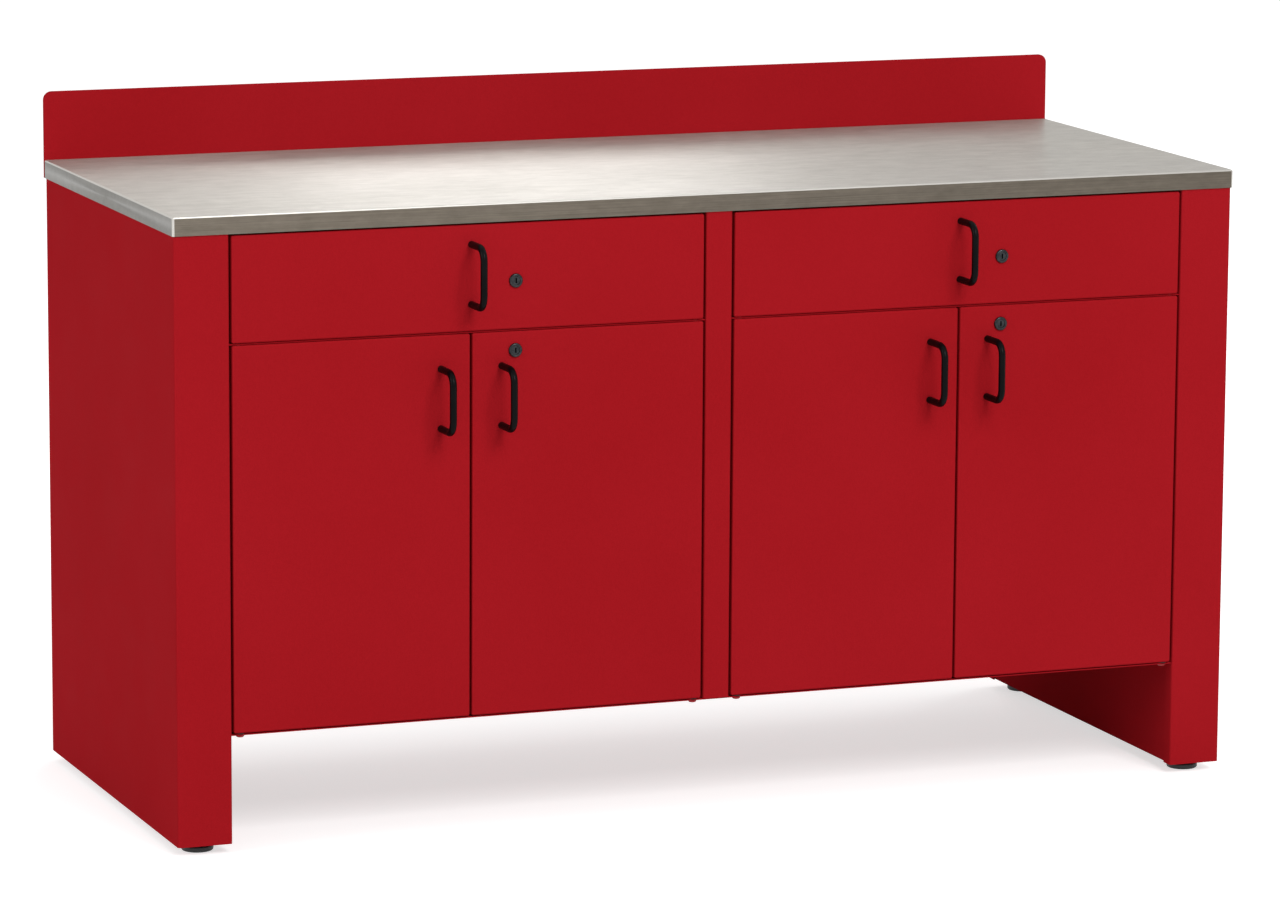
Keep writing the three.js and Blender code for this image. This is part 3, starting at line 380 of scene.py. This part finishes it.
def smoothing_group():
    """Geometry nodes that weld the corners of a CAD node and shade its folds as curves."""
    group = bpy.data.node_groups.new("smooth_folds", "GeometryNodeTree")
    group.interface.new_socket("Geometry", in_out="INPUT", socket_type="NodeSocketGeometry")
    group.interface.new_socket("Geometry", in_out="OUTPUT", socket_type="NodeSocketGeometry")
    start = group.nodes.new("NodeGroupInput")
    end = group.nodes.new("NodeGroupOutput")
    weld = group.nodes.new("GeometryNodeMergeByDistance")
    weld.inputs["Distance"].default_value = WELD_DISTANCE
    angle = group.nodes.new("GeometryNodeInputMeshEdgeAngle")
    sharp = group.nodes.new("FunctionNodeCompare")
    sharp.data_type = "FLOAT"
    sharp.operation = "GREATER_THAN"
    sharp.inputs["B"].default_value = SMOOTH_ANGLE
    normals = group.nodes.new("GeometryNodeSetMeshNormal")
    normals.mode = "SHARPNESS"
    normals.inputs["Remove Custom"].default_value = True
    group.links.new(start.outputs[0], weld.inputs["Geometry"])
    group.links.new(angle.outputs["Unsigned Angle"], sharp.inputs["A"])
    group.links.new(weld.outputs["Geometry"], normals.inputs["Mesh"])
    group.links.new(sharp.outputs["Result"], normals.inputs["Edge Sharpness"])
    group.links.new(normals.outputs["Mesh"], end.inputs[0])
    return group


def dress_cad_nodes():
    group = smoothing_group()
    for part in frame["record"]["subparts"]:
        node = frame["nodes"][part["node"]]
        node.data.materials.clear()
        node.data.materials.append(MATERIALS[part["material_slot"]])
        smooth = node.modifiers.new("smooth_folds", "NODES")
        smooth.node_group = group
        weighted = node.modifiers.new("flat_faces_stay_flat", "WEIGHTED_NORMAL")
        weighted.keep_sharp = True


def pointing(direction):
    """Turn that takes local +Z to a direction."""
    return Vector(direction).to_track_quat("Z", "Y").to_matrix().to_4x4()


def placed(place, direction):
    return Matrix.Translation(place) @ pointing(direction)


def add_turned(mesh, profile, matrix):
    """Adds a solid of revolution about local Z, from (radius, height) points that start and end on the axis
    or close on themselves."""
    rings = []
    for radius, height in profile:
        if radius == 0:
            rings.append([mesh.verts.new(matrix @ Vector((0, 0, height)))])
            continue
        ring = []
        for step in range(ROUND_STEPS):
            turn = math.tau * step / ROUND_STEPS
            place = Vector((radius * math.cos(turn), radius * math.sin(turn), height))
            ring.append(mesh.verts.new(matrix @ place))
        rings.append(ring)
    for below, above in zip(rings, rings[1:]):
        for step in range(ROUND_STEPS):
            after = (step + 1) % ROUND_STEPS
            if len(below) == 1:
                mesh.faces.new((below[0], above[after], above[step]))
            elif len(above) == 1:
                mesh.faces.new((below[step], below[after], above[0]))
            else:
                mesh.faces.new((below[step], below[after], above[after], above[step]))


def add_rivet(mesh, place, direction):
    """Domed rivet head with the dimple its mandrel leaves."""
    radius, height = RIVET_RADIUS, RIVET_HEIGHT
    profile = [
        (0, 0),
        (radius, 0),
        (radius * 0.97, height * 0.35),
        (radius * 0.80, height * 0.78),
        (radius * 0.52, height),
        (radius * 0.34, height),
        (radius * 0.30, height * 0.55),
        (0, height * 0.55),
    ]
    add_turned(mesh, profile, placed(place, direction))


def add_bumper(mesh, place, direction, height):
    """Soft door stop: a disc with a rounded rim."""
    radius = BUMPER_RADIUS
    profile = [
        (0, 0),
        (radius, 0),
        (radius, height * 0.55),
        (radius * 0.90, height * 0.85),
        (radius * 0.68, height),
        (0, height),
    ]
    add_turned(mesh, profile, placed(place, direction))


def add_washer(mesh, place):
    profile = [
        (WASHER_BORE, 0),
        (WASHER_RADIUS, 0),
        (WASHER_RADIUS, WASHER_THICKNESS),
        (WASHER_BORE, WASHER_THICKNESS),
        (WASHER_BORE, 0),
    ]
    add_turned(mesh, profile, placed(place, (0, 0, 1)))


def join_rings(mesh, rings):
    """Closed skin over a stack of rings with as many points each."""
    steps = len(rings[0])
    for below, above in zip(rings, rings[1:]):
        for step in range(steps):
            after = (step + 1) % steps
            mesh.faces.new((below[step], below[after], above[after], above[step]))
    mesh.faces.new(rings[0])
    mesh.faces.new(rings[-1])


def cross_outline(reach, width):
    """Points round a cross recess, in turn order: its corners, and one between each two of them."""
    quarter = [(reach, -width), (reach, width), (width, width)]
    corners = []
    for quarters in range(4):
        turn = Matrix.Rotation(quarters * math.pi / 2, 2)
        corners.extend(turn @ Vector(point) for point in quarter)
    points = []
    for corner, after in zip(corners, corners[1:] + corners[:1]):
        points.extend((corner, (corner + after) / 2))
    return points


def add_cross_screw(mesh, place, direction):
    """Low screw head with a cross recess."""
    matrix = placed(place, direction)
    radius, height = SCREW_RADIUS, SCREW_HEIGHT
    outline = cross_outline(radius * 0.55, radius * 0.13)
    steps = len(outline)
    first = math.atan2(outline[0].y, outline[0].x)
    circle = []
    for step in range(steps):
        turn = first + math.tau * step / steps
        circle.append(Vector((math.cos(turn), math.sin(turn))))
    levels = [
        [point * radius for point in circle],
        [point * radius for point in circle],
        [point * radius * 0.8 for point in circle],
        outline,
        [point * 0.8 for point in outline],
    ]
    heights = [-SCREW_SUNK, height * 0.5, height, height, -RECESS_DEPTH]
    rings = [
        [mesh.verts.new(matrix @ Vector((point.x, point.y, z))) for point in level]
        for level, z in zip(levels, heights)
    ]
    join_rings(mesh, rings)


def add_rounded_block(mesh, low, high, radius):
    block = bmesh.new()
    bmesh.ops.create_cube(block, size=1)
    size = high - low
    bmesh.ops.scale(block, vec=size, verts=block.verts)
    bmesh.ops.translate(block, vec=(low + high) / 2, verts=block.verts)
    bmesh.ops.bevel(block, geom=block.edges[:], offset=radius, segments=BLOCK_BEND_STEPS, profile=0.5,
                    affect="EDGES")
    scratch = bpy.data.meshes.new("scratch")
    block.to_mesh(scratch)
    block.free()
    mesh.from_mesh(scratch)
    bpy.data.meshes.remove(scratch)


def add_piece(name, mesh, material, body):
    bmesh.ops.recalc_face_normals(mesh, faces=mesh.faces)
    data = bpy.data.meshes.new(name)
    mesh.to_mesh(data)
    mesh.free()
    data.shade_smooth()
    data.set_sharp_from_angle(angle=SMOOTH_ANGLE)
    data.materials.append(MATERIALS[material])
    piece = bpy.data.objects.new(name, data)
    bpy.context.scene.collection.objects.link(piece)
    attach(piece, body)
    return piece


def bay_middle(side):
    low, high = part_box(f"{side}_drawer_front")
    return (low.x + high.x) / 2


def add_catches():
    """Double magnetic catch under the drawer rail of each bay, and a strike plate on each door."""
    rail_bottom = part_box("drawer_rail")[0].z
    door_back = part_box("left_bay_left_door_liner")[1].y
    magnet_front = door_back + STRIKE_SIZE.y + CLOSED_GAP
    for side in ("left", "right"):
        middle = bay_middle(side)
        low = Vector((middle - CATCH_SIZE.x / 2, magnet_front + MAGNET_PROUD, rail_bottom - CATCH_SIZE.z))
        housing = bmesh.new()
        add_rounded_block(housing, low, low + CATCH_SIZE, CATCH_BEND)
        add_piece(f"{side}_bay_catch_housing", housing, "rubber", "carcass")
        height = rail_bottom - CATCH_SIZE.z / 2
        magnets = bmesh.new()
        screws = bmesh.new()
        for sign, door in ((-1, "left"), (1, "right")):
            x = middle + sign * MAGNET_OFFSET
            corner = Vector((x - MAGNET_SIZE.x / 2, magnet_front, height - MAGNET_SIZE.z / 2))
            add_rounded_block(magnets, corner, corner + MAGNET_SIZE, MAGNET_BEND)
            screw_place = Vector((x, low.y + CATCH_SIZE.y / 2, low.z))
            add_cross_screw(screws, screw_place, (0, 0, -1))
            plate = bmesh.new()
            corner = Vector((x - STRIKE_SIZE.x / 2, door_back, height - STRIKE_SIZE.z / 2))
            add_rounded_block(plate, corner, corner + STRIKE_SIZE, STRIKE_BEND)
            body = f"{side}_bay_{door}_door"
            add_piece(f"{body}_strike", plate, "slide_zinc", body)
        add_piece(f"{side}_bay_catch_magnets", magnets, "slide_zinc", "carcass")
        add_piece(f"{side}_bay_catch_screws", screws, "slide_zinc", "carcass")


def add_bumpers():
    """Rubber stops: two for each door, on the rail above and the riser below, and two for each drawer."""
    rail_low, rail_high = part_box("front_top_rail")
    web = rail_low.y
    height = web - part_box("left_bay_left_door_skin")[1].y - CLOSED_GAP
    bumpers = bmesh.new()
    for side in ("left", "right"):
        for door in ("left", "right"):
            low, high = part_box(f"{side}_bay_{door}_door_skin")
            x = high.x - BUMPER_INSET if door == "left" else low.x + BUMPER_INSET
            for z in (high.z - BUMPER_BELOW_TOP, low.z + BUMPER_ABOVE_BOTTOM):
                add_bumper(bumpers, Vector((x, web, z)), (0, -1, 0), height)
        low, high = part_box(f"{side}_drawer_front")
        for x in (low.x + BUMPER_INSET, high.x - BUMPER_INSET):
            add_bumper(bumpers, Vector((x, web, (rail_low.z + rail_high.z) / 2)), (0, -1, 0), height)
    add_piece("front_bumpers", bumpers, "rubber", "carcass")


def add_washers():
    washers = bmesh.new()
    for side in ("left", "right"):
        for door in ("left", "right"):
            name = f"{side}_bay_{door}_door"
            low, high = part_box(f"{name}_hinge_rod")
            gap_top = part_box(f"{name}_skin")[0].z - CLOSED_GAP / 2
            place = Vector(((low.x + high.x) / 2, (low.y + high.y) / 2, gap_top - WASHER_THICKNESS))
            add_washer(washers, place)
    add_piece("hinge_washers", washers, "rubber", "carcass")


def add_tray_rivets():
    """Three rivets through each tray wall and the web of the slide beside it, headed on both sides."""
    for side in ("left", "right"):
        tray_low, tray_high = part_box(f"{side}_drawer_tray")
        rivets = bmesh.new()
        for end, inward in (("left", 1), ("right", -1)):
            slide_low, slide_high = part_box(f"{side}_drawer_{end}_slide_inner")
            wall = tray_low.x if end == "left" else tray_high.x
            web = slide_high.x if end == "left" else slide_low.x
            z = (slide_low.z + slide_high.z) / 2
            for share in RIVET_SHARES:
                y = slide_low.y + share * (slide_high.y - slide_low.y)
                add_rivet(rivets, Vector((wall + inward * TRAY_SHEET, y, z)), (inward, 0, 0))
                add_rivet(rivets, Vector((web - inward * SLIDE_SHEET, y, z)), (-inward, 0, 0))
        add_piece(f"{side}_drawer_rivets", rivets, "slide_zinc", f"{side}_drawer")


def spaced(first, last, count):
    """Evenly spaced values from first to last."""
    return [first + n * (last - first) / (count - 1) for n in range(count)]


def add_back_fixings():
    """Rivets round the back panel and screws through the backsplash."""
    low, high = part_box("back_panel")
    splash_low, splash_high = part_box("backsplash")
    bottom = low.z + BACK_RIVET_EDGE
    top = splash_low.z - BACK_RIVET_EDGE
    uprights = (low.x + BACK_RIVET_EDGE, 0, high.x - BACK_RIVET_EDGE)
    rivets = bmesh.new()
    for x in uprights:
        for z in spaced(bottom, top, BACK_RIVET_ROWS):
            add_rivet(rivets, Vector((x, high.y, z)), (0, 1, 0))
    for left, right in zip(uprights, uprights[1:]):
        for x in spaced(left, right, BACK_RIVETS_BETWEEN + 2)[1:-1]:
            add_rivet(rivets, Vector((x, high.y, bottom)), (0, 1, 0))
    add_piece("back_panel_rivets", rivets, "slide_zinc", "carcass")
    screws = bmesh.new()
    worktop_low, worktop_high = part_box("worktop_skin")
    skirt_middle = (splash_low.z + worktop_low.z) / 2
    edge_middle = (worktop_low.z + worktop_high.z) / 2
    for x in spaced(-BACK_SCREW_REACH, BACK_SCREW_REACH, BACK_SCREW_COLUMNS):
        for z in (skirt_middle, edge_middle):
            add_cross_screw(screws, Vector((x, splash_high.y, z)), (0, 1, 0))
    add_piece("backsplash_screws", screws, "slide_zinc", "carcass")


def stadium(half_length, radius):
    """Points round an upright slot shape, centred, as (across, up)."""
    points = []
    for step in range(ROUND_STEPS):
        turn = math.tau * (step + 0.5) / ROUND_STEPS
        up = half_length if math.sin(turn) > 0 else -half_length
        points.append((radius * math.cos(turn), up + radius * math.sin(turn)))
    return points


def add_bead(mesh, x, back, bottom, top):
    """Pressed stiffening bead standing off the back panel, with rounded shoulders."""
    half_length = (top - bottom) / 2 - BEAD_WIDTH / 2
    middle = (bottom + top) / 2
    rings = []
    profile = [(1.0, -0.1), (1.0, 0.0), (0.93, 0.12), (0.80, 0.62), (0.70, 0.92), (0.60, 1.0)]
    for width_share, height_share in profile:
        outline = stadium(half_length, width_share * BEAD_WIDTH / 2)
        y = back + height_share * BEAD_HEIGHT
        rings.append([mesh.verts.new((x + across, y, middle + up)) for across, up in outline])
    join_rings(mesh, rings)


def add_back_beads():
    low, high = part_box("back_panel")
    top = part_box("backsplash")[0].z - BEAD_MARGIN
    beads = bmesh.new()
    for column in range(BEADS):
        x = low.x + (column + 0.5) * (high.x - low.x) / BEADS
        add_bead(beads, x, high.y, low.z + BEAD_MARGIN, top)
    add_piece("back_panel_beads", beads, "red_paint", "carcass")


def add_foot_pad(mesh, place, radius):
    """Round pad with rounded edges."""
    edge = FOOT_PAD_EDGE
    lower = []
    for step in range(FOOT_EDGE_STEPS + 1):
        turn = math.pi / 2 * step / FOOT_EDGE_STEPS
        lower.append((radius - edge + edge * math.sin(turn), edge - edge * math.cos(turn)))
    upper = [(reach, FOOT_PAD_TOP - height) for reach, height in reversed(lower)]
    add_turned(mesh, [(0, 0), *lower, *upper, (0, FOOT_PAD_TOP)], placed(place, (0, 0, 1)))


def add_nut(mesh, place, bottom, top):
    """Hexagon nut with its upper corners turned off to a cone."""
    side_steps = ROUND_STEPS // 6
    rings = ([], [], [])
    for step in range(ROUND_STEPS):
        turn = math.tau * step / ROUND_STEPS
        from_flat = math.tau * (step % side_steps - side_steps / 2) / ROUND_STEPS
        reach = NUT_ACROSS / 2 / math.cos(from_flat)
        cone = top - (reach - NUT_FACE) * NUT_CONE
        for ring, radius, height in zip(rings, (reach, reach, NUT_FACE), (bottom, cone, top)):
            corner = Vector((radius * math.cos(turn), radius * math.sin(turn), height))
            ring.append(mesh.verts.new(place + corner))
    join_rings(mesh, rings)


def add_thread(mesh, place, bottom, top):
    """Stud with a helical thread: one tooth carried round and up, each turn joined to the next."""
    turns = int((top - bottom) / THREAD_PITCH) - 1
    root = THREAD_RADIUS - THREAD_DEPTH
    tooth = list(zip((root, THREAD_RADIUS, THREAD_RADIUS, root), THREAD_SHARES))
    columns = []
    for step in range(turns * THREAD_STEPS + 1):
        turn = math.tau * step / THREAD_STEPS
        column = []
        for radius, share in tooth:
            height = bottom + THREAD_PITCH * (step / THREAD_STEPS + share)
            corner = Vector((radius * math.cos(turn), radius * math.sin(turn), height))
            column.append(mesh.verts.new(place + corner))
        columns.append(column)
    for column, after in zip(columns, columns[1:]):
        for low in range(len(tooth) - 1):
            mesh.faces.new((column[low], after[low], after[low + 1], column[low + 1]))
    one_turn_up = columns[THREAD_STEPS:]
    for here, after, above, above_after in zip(columns, columns[1:], one_turn_up, one_turn_up[1:]):
        mesh.faces.new((here[-1], after[-1], above_after[0], above[0]))
    lower_edge = [column[0] for column in columns[:THREAD_STEPS + 1]] + columns[0][:0:-1]
    upper_edge = [column[-1] for column in columns[-THREAD_STEPS - 1:]] + columns[-1][-2::-1]
    for edge, height in ((lower_edge, bottom), (upper_edge, top)):
        middle = mesh.verts.new(place + Vector((0, 0, height)))
        for corner, after in zip(edge, edge[1:] + edge[:1]):
            mesh.faces.new((corner, after, middle))


def add_levelling_feet():
    """Feet with a rounded pad, a chamfered nut and a cut thread, in place of the plain CAD ones."""
    for end in ("front", "rear"):
        for side in ("left", "right"):
            node = f"{end}_{side}_foot"
            low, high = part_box(node)
            place = Vector(((low.x + high.x) / 2, (low.y + high.y) / 2, low.z))
            nut_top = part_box(f"{side}_end_shell")[0].z - NUT_GAP
            foot = bmesh.new()
            add_foot_pad(foot, place, (high.x - low.x) / 2)
            add_nut(foot, place, FOOT_PAD_TOP - NUT_SUNK, nut_top)
            add_thread(foot, place, nut_top - THREAD_SUNK, high.z)
            piece = add_piece(f"{end}_{side}_levelling_foot", foot, "foot_black", node)
            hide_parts(node)


def add_camera():
    forward = Vector((
        math.sin(CAMERA_YAW) * math.cos(CAMERA_PITCH),
        math.cos(CAMERA_YAW) * math.cos(CAMERA_PITCH),
        -math.sin(CAMERA_PITCH),
    ))
    level = Vector((math.cos(CAMERA_YAW), -math.sin(CAMERA_YAW), 0))
    upright = level.cross(forward)
    right = math.cos(CAMERA_ROLL) * level + math.sin(CAMERA_ROLL) * upright
    up = math.cos(CAMERA_ROLL) * upright - math.sin(CAMERA_ROLL) * level
    data = bpy.data.cameras.new("photo_camera")
    data.lens = CAMERA_LENS_MM
    data.sensor_width = CAMERA_SENSOR_MM
    data.clip_end = CAMERA_FAR
    camera = bpy.data.objects.new("photo_camera", data)
    turn = Matrix((right, up, -forward)).transposed()
    camera.matrix_world = Matrix.Translation(CAMERA_PLACE) @ turn.to_4x4()
    bpy.context.scene.collection.objects.link(camera)
    bpy.context.scene.camera = camera


def add_area(name, place, target, width, height, power):
    data = bpy.data.lights.new(name, "AREA")
    data.shape = "RECTANGLE"
    data.size = width
    data.size_y = height
    data.energy = power
    lamp = bpy.data.objects.new(name, data)
    lamp.location = place
    aim = Vector(target) - Vector(place)
    lamp.rotation_euler = aim.to_track_quat("-Z", "Y").to_euler()
    lamp.visible_camera = False
    bpy.context.scene.collection.objects.link(lamp)


def add_lights():
    """Key from the front, fill on both ends, and a narrow lamp behind that shines along the worktop."""
    add_area("front_softbox", place=(0.8, -7.5, 6.5), target=(0, 0, 0.5),
             width=4.0, height=3.6, power=450)
    add_area("left_softbox", place=(-7.0, -1.0, 3.5), target=(-0.76, 0, 0.5),
             width=3.0, height=3.0, power=120)
    add_area("right_softbox", place=(6.5, 3.4, 4.0), target=(0.5, 0.2, 0.5),
             width=3.0, height=3.0, power=130)
    add_area("rear_softbox", place=(1.40, 4.0, 3.3), target=(-0.14, 0, 0.85),
             width=1.05, height=2.4, power=26.5)


def lit_for_the_eye(tree):
    """1 for rays that show a surface to the eye, straight or in a mirror, and 0 for those that light it."""
    path = tree.nodes.new("ShaderNodeLightPath")
    seen = path.outputs["Is Camera Ray"]
    for name in ("Is Glossy Ray", "Is Transmission Ray"):
        either = tree.nodes.new("ShaderNodeMath")
        either.operation = "MAXIMUM"
        tree.links.new(seen, either.inputs[0])
        tree.links.new(path.outputs[name], either.inputs[1])
        seen = either.outputs[0]
    return seen


def scaled(tree, value, low, high):
    node = tree.nodes.new("ShaderNodeMapRange")
    node.inputs["To Min"].default_value = low
    node.inputs["To Max"].default_value = high
    tree.links.new(value, node.inputs["Value"])
    return node.outputs[0]


def add_world():
    world = bpy.data.worlds.new("studio")
    world.use_nodes = True
    tree = world.node_tree
    tree.nodes.clear()
    output = tree.nodes.new("ShaderNodeOutputWorld")
    sky = tree.nodes.new("ShaderNodeBackground")
    sky.inputs["Color"].default_value = WHITE
    strength = scaled(tree, lit_for_the_eye(tree), WORLD_LIGHT, WORLD_SEEN)
    tree.links.new(strength, sky.inputs["Strength"])
    tree.links.new(sky.outputs[0], output.inputs["Surface"])
    bpy.context.scene.world = world


def add_floor():
    half = FLOOR_HALF
    mesh = bpy.data.meshes.new("studio_floor")
    corners = [(-half, -half, 0), (half, -half, 0), (half, half, 0), (-half, half, 0)]
    mesh.from_pydata(corners, [], [(0, 1, 2, 3)])
    floor = bpy.data.objects.new("studio_floor", mesh)
    bpy.context.scene.collection.objects.link(floor)
    shader = Shader("studio_floor", Metallic=0.0, Roughness=0.9, Specular_IOR_Level=0.0)
    shader.set(Base_Color=FLOOR_COLOUR, Emission_Color=WHITE)
    shader.set(Emission_Strength=scaled(shader.tree, lit_for_the_eye(shader.tree), 0.0, FLOOR_GLOW))
    mesh.materials.append(shader.material)


dress_cad_nodes()
add_catches()
add_bumpers()
add_washers()
add_tray_rivets()
add_back_fixings()
add_back_beads()
add_levelling_feet()
add_camera()
add_lights()
add_world()
add_floor()
bpy.context.scene.view_settings.view_transform = "Standard"
